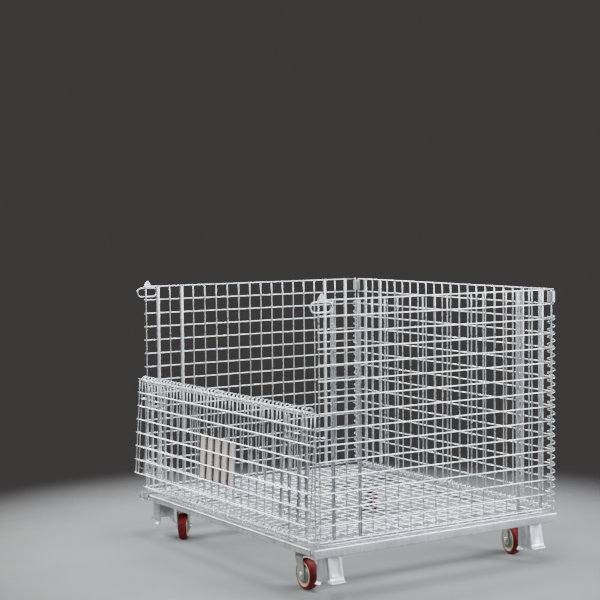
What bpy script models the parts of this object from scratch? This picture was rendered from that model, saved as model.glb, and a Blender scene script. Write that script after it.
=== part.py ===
"""Folding wire mesh container on four swivel casters.

Metres, Z up. The origin is on the floor under the middle of the container, the gate side faces -Y and
X points to the right of someone who stands in front of the gate.
The dimensions below count Y from the middle of the mesh walls. The open gate hangs out in front of them,
so the middle of the whole container lies WALLS_BEHIND_ORIGIN in front of the middle of the walls.
Every second mesh wire is left out of these solids, so a panel is a lattice of 100 mm cells.
"""

from math import cos, pi, radians, sin

import bmesh
import bpy
from mathutils import Vector

WALLS_BEHIND_ORIGIN = 0.0127

# Mesh grid
PITCH = 0.050
FIRST_ROW_Z = 0.180
FIRST_FRONT_COLUMN_X = -0.575
FIRST_SIDE_COLUMN_Y = -0.475
UPRIGHT = 0.0055
CROSSBAR = 0.0050
SIDE_COLUMNS = (0, 1, 3, 5, 7, 9, 10, 12, 14, 16, 18, 19)
FRONT_COLUMNS = (0, 1, 3, 5, 7, 9, 11, 12, 14, 16, 18, 20, 22, 23)
WALL_ROWS = (0, 1, 3, 5, 7, 9, 11, 13, 15)
LOWER_FRONT_ROWS = (0, 1, 3, 5, 7, 8)
GATE_ROWS = (0, 1, 3, 5, 7)
FLOOR_ROWS = (1, 3, 5, 7, 9, 10, 12, 14, 16, 18)

# Planes where the two wire layers of a panel meet
SIDE_PLANE_X = 0.5850
BACK_PLANE_Y = 0.48625
LOWER_FRONT_PLANE_Y = -0.4895
FLOOR_PLANE_Z = 0.1698
FLOOR_FRONT_EDGE_Y = -0.4795
FLOOR_REAR_EDGE_Y = 0.4945

# Where the crossbars of each panel start and end
SIDE_BAR_ENDS = (-0.4795, 0.4790)
BACK_BAR_ENDS = (-0.580, 0.580)
FLOOR_BAR_ENDS = (-0.578, 0.578)
FRONT_BAR_ENDS = (-0.600, 0.600)

# Label plate: half its width, and its edges as distances below the gate hinge
LABEL_HALF_WIDTH = 0.125
LABEL_EDGES = (0.150, 0.300)
LABEL_THICKNESS = 0.0010

# Hinge axes that the coils turn around
CORNER_AXIS = (0.57875, 0.47925)
FRONT_AXIS = (-0.48575, 0.17625)
REAR_AXIS = (0.4916, 0.17625)
GATE_AXIS = (-0.4953, 0.5853)
GATE_REST_TILT = radians(3.9)
GATE_PLANE_OFFSET = 0.0048

# Coils. The phase is the angle in degrees at which a coil passes the uprights that it holds
COIL_PITCH = 0.100
COIL_STEPS = 10
CORNER_COIL_RADIUS = 0.01245
CORNER_COIL_WIRE = 0.0016
CORNER_COIL_PHASE = 45
CORNER_COIL_ENDS = (0.205, 0.835)
HINGE_COILS = {
    "front_floor": {"axis": FRONT_AXIS, "radius": 0.0137, "wire": 0.0016, "phase": 245,
                    "ends": (0.028, 0.440)},
    "rear_floor": {"axis": REAR_AXIS, "radius": 0.0106, "wire": 0.0014, "phase": 33,
                   "ends": (0.010, 0.545)},
    "gate": {"axis": GATE_AXIS, "radius": 0.0130, "wire": 0.0016, "phase": 27,
             "ends": (0.010, 0.560)},
}

# Base frame
RAIL_BOTTOM = 0.1335
SIDE_RAIL_TOP = 0.1640
END_RAIL_TOP = 0.1560
RAIL_WALL = 0.0025
SIDE_RAIL_INNER_X = 0.5550
SIDE_RAIL_OUTER_X = 0.6000
SIDE_RAIL_ENDS = (-0.507, 0.485)
END_RAIL_WIDTH = 0.0300
FRONT_RAIL_Y = -0.4950
REAR_RAIL_Y = 0.4850
BEARER_X = 0.4050
BEARER_WIDTH = 0.0600
GAP = 0.0003

# Feet
FOOT_WALL = 0.0030
FOOT_INNER_X = 0.5330
FOOT_TOP = (0.5860, 0.0600, RAIL_BOTTOM - GAP)
FOOT_BOTTOM = (0.6030, 0.0620, 0.0400)
FOOT_Y = {"front": -0.4260, "rear": 0.4010}

# Casters: place of the swivel axis and the direction in which the wheel trails at rest
CASTERS = {
    "front_left": (-BEARER_X, -0.4300, 143),
    "front_right": (BEARER_X, -0.4300, -3),
    "rear_left": (-BEARER_X, 0.4300, 168),
    "rear_right": (BEARER_X, 0.4300, -13),
}
TRAIL = 0.035
WHEEL_RADIUS = 0.050
WHEEL_WIDTH = 0.032
CORE_RADIUS = 0.0405
BOLT_RADIUS = 0.0050
BOLT_HOLE = 0.0053
BOLT_ENDS = (-0.0265, 0.0290)
BOLT_HEAD_RADIUS = 0.0085
BOLT_HEAD_END = 0.0275
TREAD_FACE = 0.0105
TREAD_SHOULDER = 0.0455
CORE_HALF_WIDTH = 0.0155
HUB_RADIUS = 0.0150
HUB_HALF_WIDTH = 0.0180
DISC_RADIUS = 0.0330
DISC_HALF_WIDTH = 0.0130
FORK_LEG = 0.0030
FORK_INSIDE = 0.0190
FORK_EYE_RADIUS = 0.0170
FORK_CROWN_Z = 0.1080
FORK_CROWN_X = (-0.0120, 0.0360)
FORK_SHOULDER_Z = 0.0920
CROWN_THICKNESS = 0.0035
HEAD_RADIUS = 0.0240
HEAD_TOP = 0.1210
RACE_RADIUS = 0.0280
PLATE_TOP = RAIL_BOTTOM - GAP
PLATE_THICKNESS = 0.0030
PLATE_HALF_SIZE = (0.046, 0.034)
SINK = 0.0010

# Loops that take the gate bolts, and stacking tabs, both on the side panels
LOOP_RADIUS = 0.0160
LOOP_Z = 0.9085
LOOP_CENTRES_Y = (-0.4915, -0.4435)
TAB_X = (0.5860, 0.5890)
TAB_MIDDLE_Y = -0.4655
TAB_HALF_WIDTH = 0.0150
TAB_HEIGHT = 0.0175
TAB_BLUNT = (0.0040, 0.0160)
TAB_HOLE_RADIUS = 0.0025
TAB_HOLE_HEIGHT = 0.0080

# Sleeves around the rear corner uprights
CLIP_RADII = (0.0112, 0.0127)
CLIP_HEIGHTS = (0.887, 0.924)
CLIP_ANGLES = [210 + 30 * step for step in range(11)]

# Latches
LATCH_RADIUS = 0.0025
GATE_LATCH_RUNS = (0.312, 0.330)
GATE_LATCH_Y = 0.0037
LOWER_LATCH_RUNS = (0.492, 0.510)
GATE_LATCH_X = {"short_end": 0.545, "bend": 0.409, "tip": 0.582}
LOWER_LATCH_Y = -0.4923
LOWER_LATCH_X = {"short_end": 0.560, "bend": 0.409}
LOWER_LATCH_HOOK = [(0.6000, LOWER_LATCH_Y), (0.6055, -0.4899), (0.6080, -0.4843), (0.6080, -0.4735),
                    (0.6058, -0.4679), (0.6000, -0.4655), (0.5920, -0.4655)]

# Staples that guide the latches: feet, inner face and outer face as distances from the wire planes' meeting
STAPLE_WIDTH = 0.0040
STAPLE_LEG = 0.0033
STAPLE_PLAY = 0.0010
LOWER_STAPLE = (-0.0010, 0.0056, 0.0083)
GATE_STAPLE = (0.0010 - UPRIGHT, -0.0059 - UPRIGHT, -0.0092 - UPRIGHT)

MATERIALS = {
    "zinc_wire": ((0.60, 0.63, 0.66), 0.9, 0.35),
    "zinc_sheet": ((0.58, 0.58, 0.56), 0.8, 0.45),
    "label_plate": ((0.78, 0.68, 0.66), 0.0, 0.50),
    "red_tread": ((0.30, 0.015, 0.02), 0.0, 0.40),
    "wheel_core": ((0.70, 0.55, 0.42), 0.0, 0.45),
    "bolt_steel": ((0.70, 0.71, 0.70), 0.9, 0.30),
}


def clear_scene():
    for old in list(bpy.data.objects):
        bpy.data.objects.remove(old, do_unlink=True)


def principled(slot):
    if slot in bpy.data.materials:
        return bpy.data.materials[slot]
    colour, metallic, roughness = MATERIALS[slot]
    material = bpy.data.materials.new(slot)
    material.use_nodes = True
    shader = material.node_tree.nodes["Principled BSDF"]
    shader.inputs["Base Color"].default_value = (*colour, 1.0)
    shader.inputs["Metallic"].default_value = metallic
    shader.inputs["Roughness"].default_value = roughness
    return material


def add_object(name, data, slot, parent=None):
    piece = bpy.data.objects.new(name, data)
    if not data.materials:
        data.materials.append(principled(slot))
    piece.parent = parent or bpy.data.objects["container"]
    bpy.context.collection.objects.link(piece)
    return piece


def add_empty(name, location, rotation=(0, 0, 0), parent=None):
    parent = parent or bpy.data.objects.get("container")
    empty = bpy.data.objects.new(name, None)
    empty.location = location
    empty.rotation_euler = rotation
    empty.parent = parent
    bpy.context.collection.objects.link(empty)
    return empty


def finish_mesh(bm, name):
    bmesh.ops.recalc_face_normals(bm, faces=bm.faces)
    mesh = bpy.data.meshes.new(name)
    bm.to_mesh(mesh)
    bm.free()
    return mesh


def prism(name, outline, place, start, end):
    """A straight solid: place(u, v, w) puts the outline's (u, v) at each end w."""
    bm = bmesh.new()
    rings = [[bm.verts.new(place(u, v, w)) for u, v in outline] for w in (start, end)]
    for ring in rings:
        bm.faces.new(ring)
    for first, second in zip(range(len(outline)), [*range(1, len(outline)), 0]):
        bm.faces.new((rings[0][first], rings[0][second], rings[1][second], rings[1][first]))
    return finish_mesh(bm, name)


def cylinder_outline(radius, steps, x=0.0, y=0.0):
    angles = [2 * pi * step / steps for step in range(steps)]
    return [(x + radius * cos(angle), y + radius * sin(angle)) for angle in angles]


def turned(name, profile, steps=20):
    """A solid of revolution about Y from closed (radius, y) points."""
    bm = bmesh.new()
    rings = []
    for step in range(steps):
        angle = 2 * pi * step / steps
        rings.append([bm.verts.new((r * sin(angle), y, -r * cos(angle))) for r, y in profile])
    for here, there in zip(rings, rings[1:] + rings[:1]):
        for first, second in zip(range(len(profile)), [*range(1, len(profile)), 0]):
            bm.faces.new((here[first], here[second], there[second], there[first]))
    mesh = finish_mesh(bm, name)
    mesh.shade_smooth()
    mesh.set_sharp_from_angle(angle=radians(35))
    return mesh


def wire(name, points, radius, slot, parent=None, sides=8, closed=False):
    """A bent wire as a bevelled curve through the points."""
    curve = bpy.data.curves.new(name, "CURVE")
    curve.dimensions = "3D"
    curve.bevel_depth = radius
    curve.bevel_resolution = (sides - 4) // 2
    curve.use_fill_caps = True
    spline = curve.splines.new("POLY")
    spline.points.add(len(points) - 1)
    for target, point in zip(spline.points, points):
        target.co = (*point, 1.0)
    spline.use_cyclic_u = closed
    return add_object(name, curve, slot, parent)


def evaluated_mesh(piece):
    bpy.context.view_layer.update()
    graph = bpy.context.evaluated_depsgraph_get()
    return bpy.data.meshes.new_from_object(piece.evaluated_get(graph))


def boolean(name, base, operands, operation):
    """The base mesh joined with, or cut by, each operand mesh in turn."""
    body = bpy.data.objects.new(name, base)
    bpy.context.collection.objects.link(body)
    tools = []
    for operand in operands:
        tool = bpy.data.objects.new(name + "_tool", operand)
        bpy.context.collection.objects.link(tool)
        tool.hide_render = True
        tool.display_type = "WIRE"
        step = body.modifiers.new(operation, "BOOLEAN")
        step.operation = operation
        step.solver = "EXACT"
        step.object = tool
        tools.append(tool)
    result = evaluated_mesh(body)
    for scrap in [body, *tools]:
        bpy.data.objects.remove(scrap, do_unlink=True)
    return result


# Mesh panels

def bar_faces(bm, point, middle, half, far, span, crossings):
    """One square bar of a lattice, without the patches where the crossing bars are welded on."""
    stops = [round(span[0], 6)]
    for low, high in crossings:
        stops += [low, high]
    stops.append(round(span[1], 6))
    free = [(a, b) for a, b in zip(stops[0::2], stops[1::2]) if b - a > 1e-6]
    edge_stops = sorted(set(stops))
    low, high = middle - half, middle + half
    for side in (low, high):
        rim = [point(stop, side, 0) for stop in reversed(edge_stops)]
        bm.faces.new([point(span[0], side, far), point(span[1], side, far), *rim])
    bm.faces.new([point(span[0], low, far), point(span[1], low, far),
                  point(span[1], high, far), point(span[0], high, far)])
    for start, end in free:
        bm.faces.new([point(start, low, 0), point(end, low, 0), point(end, high, 0), point(start, high, 0)])
    for end in span:
        bm.faces.new([point(end, low, far), point(end, high, far), point(end, high, 0), point(end, low, 0)])


def lattice(name, place, columns, rows, column_span, row_span, column_size, row_size):
    """Upright bars behind crossbars, welded where they cross.

    place(a, b, n) turns panel coordinates into metres: a along the crossbars, b along the uprights and
    n outward from the plane where the two layers meet. A span is the (start, end) of the bars.
    """
    bm = bmesh.new()
    made = {}

    def corner(a, b, n):
        key = (round(a, 6), round(b, 6), round(n, 6))
        if key not in made:
            made[key] = bm.verts.new(place(*key))
        return made[key]

    half_column, half_row = column_size / 2, row_size / 2
    row_edges = [(round(b - half_row, 6), round(b + half_row, 6)) for b in rows]
    column_edges = [(round(a - half_column, 6), round(a + half_column, 6)) for a in columns]
    for a in columns:
        bar_faces(bm, lambda along, across, n: corner(across, along, n), a, half_column, -column_size,
                  column_span, row_edges)
    for b in rows:
        bar_faces(bm, lambda along, across, n: corner(along, across, n), b, half_row, row_size,
                  row_span, column_edges)
    return finish_mesh(bm, name)


def grid(first, numbers):
    return [round(first + PITCH * number, 6) for number in numbers]


FRONT_GRID = grid(FIRST_FRONT_COLUMN_X, FRONT_COLUMNS)
SIDE_GRID = grid(FIRST_SIDE_COLUMN_Y, SIDE_COLUMNS)
WALL_BOTTOM = FIRST_ROW_Z - CROSSBAR / 2
WALL_TOP = FIRST_ROW_Z + PITCH * WALL_ROWS[-1] + CROSSBAR / 2


def add_side_panels(hinges):
    rows = grid(FIRST_ROW_Z, WALL_ROWS)
    for name, sign in (("left", -1), ("right", 1)):
        hinge = hinges[name]
        mesh = lattice(name + "_panel",
                       lambda y, z, n: Vector((sign * (SIDE_PLANE_X + n), y, z)) - hinge.location,
                       SIDE_GRID, rows, (WALL_BOTTOM, WALL_TOP), SIDE_BAR_ENDS, UPRIGHT, CROSSBAR)
        add_object(name + "_panel", mesh, "zinc_wire", hinge)


def add_back_panel():
    rows = grid(FIRST_ROW_Z, WALL_ROWS)
    mesh = lattice("back_panel", lambda x, z, n: (x, BACK_PLANE_Y + n, z),
                   FRONT_GRID, rows, (WALL_BOTTOM, WALL_TOP), BACK_BAR_ENDS, UPRIGHT, CROSSBAR)
    add_object("back_panel", mesh, "zinc_wire")


def add_floor_mesh():
    rows = [FLOOR_FRONT_EDGE_Y, *grid(FIRST_SIDE_COLUMN_Y, FLOOR_ROWS), FLOOR_REAR_EDGE_Y]
    span = (FLOOR_FRONT_EDGE_Y - UPRIGHT / 2, FLOOR_REAR_EDGE_Y + UPRIGHT / 2)
    mesh = lattice("floor_mesh", lambda x, y, n: (x, y, FLOOR_PLANE_Z + n),
                   FRONT_GRID, rows, span, FLOOR_BAR_ENDS, UPRIGHT, UPRIGHT)
    add_object("floor_mesh", mesh, "zinc_wire")


def staple(place, column, runs, base, inner, outer):
    """A U of flat wire around both runs of a latch, its feet sunk into an upright."""
    room = LATCH_RADIUS + STAPLE_PLAY
    low, high = runs[0] - room, runs[1] + room
    bottom, top = low - STAPLE_LEG, high + STAPLE_LEG
    outline = [(bottom, base), (bottom, outer), (top, outer), (top, base),
               (high, base), (high, inner), (low, inner), (low, base)]
    return prism("staple", outline, lambda along, depth, x: place(x, along, depth),
                 column - STAPLE_WIDTH / 2, column + STAPLE_WIDTH / 2)


def stapled_columns():
    return grid(FIRST_FRONT_COLUMN_X, (1, 3, 20, 22))


def add_lower_front_panel(hinge):
    def place(x, z, n):
        return Vector((x, LOWER_FRONT_PLANE_Y - n, z)) - hinge.location

    top = FIRST_ROW_Z + PITCH * LOWER_FRONT_ROWS[-1] + CROSSBAR / 2
    panel = lattice("lower_front_panel", place, FRONT_GRID, grid(FIRST_ROW_Z, LOWER_FRONT_ROWS),
                    (WALL_BOTTOM, top), FRONT_BAR_ENDS, UPRIGHT, CROSSBAR)
    staples = [staple(place, x, LOWER_LATCH_RUNS, *LOWER_STAPLE) for x in stapled_columns()]
    add_object("lower_front_panel", boolean("lower_front_panel", panel, staples, "UNION"),
               "zinc_wire", hinge)


def add_gate_panel(hinge):
    """The gate hangs from its hinge: height counts downward from the hinge axis."""
    def place(x, height, n):
        return (x, -GATE_PLANE_OFFSET - n, -height)

    rows = grid(0, GATE_ROWS)
    panel = lattice("gate_panel", place, FRONT_GRID, rows,
                    (rows[0] - CROSSBAR / 2, rows[-1] + CROSSBAR / 2), FRONT_BAR_ENDS, UPRIGHT, CROSSBAR)
    staples = [staple(place, x, GATE_LATCH_RUNS, *GATE_STAPLE) for x in stapled_columns()]
    add_object("gate_panel", boolean("gate_panel", panel, staples, "UNION"), "zinc_wire", hinge)


def add_label_plate(hinge):
    face = UPRIGHT - GATE_PLANE_OFFSET + GAP
    top, bottom = LABEL_EDGES
    outline = [(-LABEL_HALF_WIDTH, -bottom), (LABEL_HALF_WIDTH, -bottom),
               (LABEL_HALF_WIDTH, -top), (-LABEL_HALF_WIDTH, -top)]
    mesh = prism("label_plate", outline, lambda x, z, y: (x, y, z), face, face + LABEL_THICKNESS)
    add_object("label_plate", mesh, "label_plate", hinge)


# Coils that hinge the panels

def coil(start, end, phase_at, phase, radius, place):
    """Points of a helix: its angle is `phase` at the position phase_at along its axis."""
    count = round((end - start) / COIL_PITCH * COIL_STEPS)
    points = []
    for step in range(count + 1):
        along = start + (end - start) * step / count
        angle = radians(phase) + 2 * pi * (along - phase_at) / COIL_PITCH
        points.append(place(along, radius * cos(angle), radius * sin(angle)))
    return points


def add_corner_coils():
    x, y = CORNER_AXIS
    first_crossbar = FIRST_ROW_Z + PITCH * WALL_ROWS[1]
    for name, sign in (("left", -1), ("right", 1)):
        points = coil(*CORNER_COIL_ENDS, first_crossbar, CORNER_COIL_PHASE, CORNER_COIL_RADIUS,
                      lambda z, u, v: (sign * (x + u), y + v, z))
        wire(name + "_corner_coil", points, CORNER_COIL_WIRE, "zinc_wire", sides=4)


def add_hinge_coils(name, parent=None):
    """Two coils along X, one on each half, wound past every modelled upright at the same angle."""
    sizes = HINGE_COILS[name]
    y, z = sizes["axis"]
    offset = parent.location if parent else Vector((0, 0, 0))
    for side, sign in (("left", -1), ("right", 1)):
        middle_column = sign * PITCH / 2
        points = coil(*sorted(sign * end for end in sizes["ends"]), middle_column, sizes["phase"],
                      sizes["radius"], lambda x, u, v: Vector((x, y + u, z + v)) - offset)
        wire(name + "_coil_" + side, points, sizes["wire"], "zinc_wire", parent, sides=4)


# Base frame

def channel(name, start, end, outer, inner, bottom, top, along_x=False):
    """A C-channel with its web at `outer`, open toward `inner`."""
    wall = RAIL_WALL if inner > outer else -RAIL_WALL
    low, high = bottom + RAIL_WALL, top - RAIL_WALL
    outline = [(outer, bottom), (inner, bottom), (inner, low), (outer + wall, low),
               (outer + wall, high), (inner, high), (inner, top), (outer, top)]
    if along_x:
        mesh = prism(name, outline, lambda y, z, x: (x, y, z), start, end)
    else:
        mesh = prism(name, outline, lambda x, z, y: (x, y, z), start, end)
    add_object(name, mesh, "zinc_sheet")


def add_base_frame():
    rail_end = SIDE_RAIL_INNER_X - GAP
    front_inner, rear_inner = FRONT_RAIL_Y + END_RAIL_WIDTH, REAR_RAIL_Y - END_RAIL_WIDTH
    for name, sign in (("left", -1), ("right", 1)):
        channel(name + "_side_rail", *SIDE_RAIL_ENDS, sign * SIDE_RAIL_OUTER_X, sign * SIDE_RAIL_INNER_X,
                RAIL_BOTTOM, SIDE_RAIL_TOP)
        channel(name + "_floor_bearer", front_inner + GAP, rear_inner - GAP,
                sign * (BEARER_X + BEARER_WIDTH / 2), sign * (BEARER_X - BEARER_WIDTH / 2),
                RAIL_BOTTOM, SIDE_RAIL_TOP - GAP)
    for name, outer, inner in (("front", FRONT_RAIL_Y, front_inner), ("rear", REAR_RAIL_Y, rear_inner)):
        channel(name + "_rail", -rail_end, rail_end, outer, inner, RAIL_BOTTOM, END_RAIL_TOP, along_x=True)


def foot_ring(bm, sign, middle_y, outer_x, width, z):
    half, inside = width / 2, width / 2 - FOOT_WALL
    outline = [(FOOT_INNER_X, -half), (outer_x, -half), (outer_x, half), (FOOT_INNER_X, half),
               (FOOT_INNER_X, inside), (outer_x - FOOT_WALL, inside),
               (outer_x - FOOT_WALL, -inside), (FOOT_INNER_X, -inside)]
    return [bm.verts.new((sign * x, middle_y + y, z)) for x, y in outline]


def add_feet():
    for end, middle_y in FOOT_Y.items():
        for name, sign in (("left", -1), ("right", 1)):
            bm = bmesh.new()
            top = foot_ring(bm, sign, middle_y, *FOOT_TOP)
            bottom = foot_ring(bm, sign, middle_y, *FOOT_BOTTOM)
            bm.faces.new(top)
            bm.faces.new(bottom)
            for a, b in zip(range(8), [*range(1, 8), 0]):
                bm.faces.new((top[a], top[b], bottom[b], bottom[a]))
            mesh = finish_mesh(bm, "foot")
            add_object(f"{end}_{name}_foot", mesh, "zinc_sheet")


# Fittings of the side panels

def add_side_fittings(hinges):
    for name, sign in (("left", -1), ("right", 1)):
        hinge = hinges[name]

        def at_side(x, y, z):
            return Vector((sign * x, y, z)) - hinge.location

        loop_x = SIDE_PLANE_X + GAP + LATCH_RADIUS
        points = []
        for centre, first in zip(LOOP_CENTRES_Y, (90, 270)):
            for step in range(7):
                angle = radians(first + 30 * step)
                y, z = centre + LOOP_RADIUS * cos(angle), LOOP_Z + LOOP_RADIUS * sin(angle)
                points.append(at_side(loop_x, y, z))
        wire(name + "_gate_loop", points, LATCH_RADIUS, "zinc_wire", hinge, closed=True)

        base, half, (blunt, shoulder) = WALL_TOP + GAP, TAB_HALF_WIDTH, TAB_BLUNT
        shape = [(-half, 0), (half, 0), (blunt, shoulder), (0, TAB_HEIGHT), (-blunt, shoulder)]
        outline = [(TAB_MIDDLE_Y + across, base + up) for across, up in shape]
        tab = prism("tab", outline, lambda y, z, x: at_side(x, y, z), *TAB_X)
        hole = cylinder_outline(TAB_HOLE_RADIUS, 8, TAB_MIDDLE_Y, base + TAB_HOLE_HEIGHT)
        cutter = prism("hole", hole, lambda y, z, x: at_side(x, y, z), TAB_X[0] - SINK, TAB_X[1] + SINK)
        add_object(name + "_stacking_tab", boolean("tab", tab, [cutter], "DIFFERENCE"), "zinc_sheet", hinge)


def add_corner_clips():
    """Sheet sleeves that hold the rear corner uprights together near the top."""
    x, y = CORNER_AXIS
    inner, outer = CLIP_RADII
    angles = [radians(angle) for angle in CLIP_ANGLES]
    for name, sign in (("left", -1), ("right", 1)):
        outline = [(outer * cos(angle), outer * sin(angle)) for angle in angles]
        outline += [(inner * cos(angle), inner * sin(angle)) for angle in reversed(angles)]
        mesh = prism("clip", outline, lambda u, v, z: (sign * (x + u), y + v, z), *CLIP_HEIGHTS)
        add_object(name + "_corner_clip", mesh, "zinc_sheet")


# Latches

def u_bend(x, y, runs, sign):
    middle, radius = (runs[0] + runs[1]) / 2, (runs[1] - runs[0]) / 2
    return [(x - sign * radius * sin(radians(30 * step)), y, middle - radius * cos(radians(30 * step)))
            for step in range(7)]


def add_gate_latches(hinge):
    low, high = GATE_LATCH_RUNS
    for name, sign in (("left", -1), ("right", 1)):
        slide = add_empty(name + "_gate_latch_slide", (0, 0, 0), parent=hinge)
        short_end, bend, tip = (sign * x for x in GATE_LATCH_X.values())
        points = [(short_end, GATE_LATCH_Y, low), *u_bend(bend, GATE_LATCH_Y, GATE_LATCH_RUNS, sign),
                  (tip, GATE_LATCH_Y, high)]
        wire(name + "_gate_latch", [(x, y, -z) for x, y, z in points], LATCH_RADIUS, "zinc_wire", slide)


def add_lower_latches(hinge):
    low, high = LOWER_LATCH_RUNS
    for name, sign in (("left", -1), ("right", 1)):
        slide = add_empty(name + "_lower_latch_slide", (0, 0, 0), parent=hinge)
        short_end, bend = (sign * x for x in LOWER_LATCH_X.values())
        points = [(short_end, LOWER_LATCH_Y, low),
                  *u_bend(bend, LOWER_LATCH_Y, LOWER_LATCH_RUNS, sign)]
        points += [(sign * x, y, high) for x, y in LOWER_LATCH_HOOK]
        wire(name + "_lower_latch", [Vector(p) - hinge.location for p in points], LATCH_RADIUS,
             "zinc_wire", slide)


# Casters: local X is the direction of trail, local Y the axle and the origin is the swivel axis on the floor

def fork_mesh():
    """A crown plate with two wide legs, a swivel head on top and a hole for the axle bolt."""
    rear, front = FORK_CROWN_X
    top = FORK_CROWN_Z + FORK_LEG
    angles = [radians(angle) for angle in range(180, 361, 30)]
    eye = [(TRAIL + FORK_EYE_RADIUS * cos(angle), WHEEL_RADIUS + FORK_EYE_RADIUS * sin(angle))
           for angle in angles]
    leg = [(rear, top), (rear, FORK_SHOULDER_Z), *eye, (front, top)]
    legs = []
    for sign in (-1, 1):
        ends = sorted((sign * FORK_INSIDE, sign * (FORK_INSIDE + FORK_LEG)))
        legs.append(prism("leg", leg, lambda x, z, y: (x, y, z), *ends))
    half = FORK_INSIDE + FORK_LEG - SINK
    crown = prism("crown", [(rear, -half), (front, -half), (front, half), (rear, half)],
                  lambda x, y, z: (x, y, z), FORK_CROWN_Z, FORK_CROWN_Z + CROWN_THICKNESS)
    head = prism("head", cylinder_outline(HEAD_RADIUS, 16), lambda x, y, z: (x, y, z),
                 FORK_CROWN_Z + SINK, HEAD_TOP)
    solid = boolean("fork", crown, [*legs, head], "UNION")
    reach = FORK_INSIDE + 2 * FORK_LEG
    drill = prism("drill", cylinder_outline(BOLT_HOLE, 8, TRAIL, WHEEL_RADIUS),
                  lambda x, z, y: (x, y, z), -reach, reach)
    return boolean("fork", solid, [drill], "DIFFERENCE")


def plate_mesh():
    """The bolted top plate with the fixed race of the swivel under it."""
    bottom = PLATE_TOP - PLATE_THICKNESS
    length, width = PLATE_HALF_SIZE
    plate = prism("plate", [(-length, -width), (length, -width), (length, width), (-length, width)],
                  lambda x, y, z: (x, y, z), bottom, PLATE_TOP)
    race = prism("race", cylinder_outline(RACE_RADIUS, 16), lambda x, y, z: (x, y, z),
                 HEAD_TOP + GAP, bottom + SINK)
    return boolean("plate", plate, [race], "UNION")


def wheel_meshes():
    half = WHEEL_WIDTH / 2
    tread = turned("tyre", [(WHEEL_RADIUS, -TREAD_FACE), (WHEEL_RADIUS, TREAD_FACE), (TREAD_SHOULDER, half),
                            (CORE_RADIUS, half), (CORE_RADIUS, -half), (TREAD_SHOULDER, -half)])
    half_core = [(CORE_RADIUS - GAP, CORE_HALF_WIDTH), (DISC_RADIUS, DISC_HALF_WIDTH),
                 (HUB_RADIUS, HUB_HALF_WIDTH), (BOLT_HOLE, HUB_HALF_WIDTH)]
    core = turned("core", [*half_core, *((radius, -y) for radius, y in reversed(half_core))])
    return tread, core


def bolt_mesh():
    """Axle bolt with a round head at one end and a nut at the other."""
    washer = FORK_INSIDE + FORK_LEG + GAP
    shaft = prism("shaft", cylinder_outline(BOLT_RADIUS, 8), lambda x, z, y: (x, y, z), *BOLT_ENDS)
    heads = [prism("head", cylinder_outline(BOLT_HEAD_RADIUS, 8), lambda x, z, y: (x, y, z),
                   -BOLT_HEAD_END, -washer),
             prism("nut", cylinder_outline(BOLT_HEAD_RADIUS, 6), lambda x, z, y: (x, y, z),
                   washer, BOLT_HEAD_END)]
    return boolean("bolt", shaft, heads, "UNION")


def add_casters():
    fork, plate, bolt = fork_mesh(), plate_mesh(), bolt_mesh()
    tread, core = wheel_meshes()
    for corner, (x, y, trail_direction) in CASTERS.items():
        name = corner + "_caster_"
        plate_object = add_object(name + "plate", plate, "zinc_sheet")
        plate_object.location = (x, y, 0)
        swivel = add_empty(name + "swivel", (x, y, 0), (0, 0, radians(trail_direction)))
        add_object(name + "fork", fork, "zinc_sheet", swivel)
        axle = add_empty(name + "axle", (TRAIL, 0, WHEEL_RADIUS), parent=swivel)
        add_object(name + "axle_bolt", bolt, "bolt_steel", axle)
        add_object(name + "tyre", tread, "red_tread", axle)
        add_object(name + "wheel_core", core, "wheel_core", axle)


def build():
    clear_scene()
    add_empty("container", (0, WALLS_BEHIND_ORIGIN, 0))
    corner_x, corner_y = CORNER_AXIS
    side_hinges = {
        "left": add_empty("left_panel_hinge", (-corner_x, corner_y, WALL_BOTTOM)),
        "right": add_empty("right_panel_hinge", (corner_x, corner_y, WALL_BOTTOM)),
    }
    front_hinge = add_empty("front_panel_hinge", (0, *FRONT_AXIS))
    gate_place = Vector((0, *GATE_AXIS)) - front_hinge.location
    gate_hinge = add_empty("gate_hinge", gate_place, (-GATE_REST_TILT, 0, 0), front_hinge)

    add_base_frame()
    add_feet()
    add_floor_mesh()
    add_back_panel()
    add_side_panels(side_hinges)
    add_side_fittings(side_hinges)
    add_corner_clips()
    add_lower_front_panel(front_hinge)
    add_gate_panel(gate_hinge)
    add_label_plate(gate_hinge)
    add_lower_latches(front_hinge)
    add_gate_latches(gate_hinge)
    add_corner_coils()
    add_hinge_coils("front_floor")
    add_hinge_coils("rear_floor")
    add_hinge_coils("gate", front_hinge)
    add_casters()


build()
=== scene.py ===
"""Looks of the folding wire mesh container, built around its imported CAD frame.

Dimensions are in metres and angles in degrees, unless a name says otherwise. Like part.py, they count Y
from the middle of the mesh walls, which lies WALLS_BEHIND_ORIGIN behind the origin. The pose of a piece is
the matrix that carries its own coordinates into the row frame.
"""

from math import atan2, cos, radians, sin, sqrt, tan, tau
from random import Random

import bmesh
import bpy
from mathutils import Matrix, Vector


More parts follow.
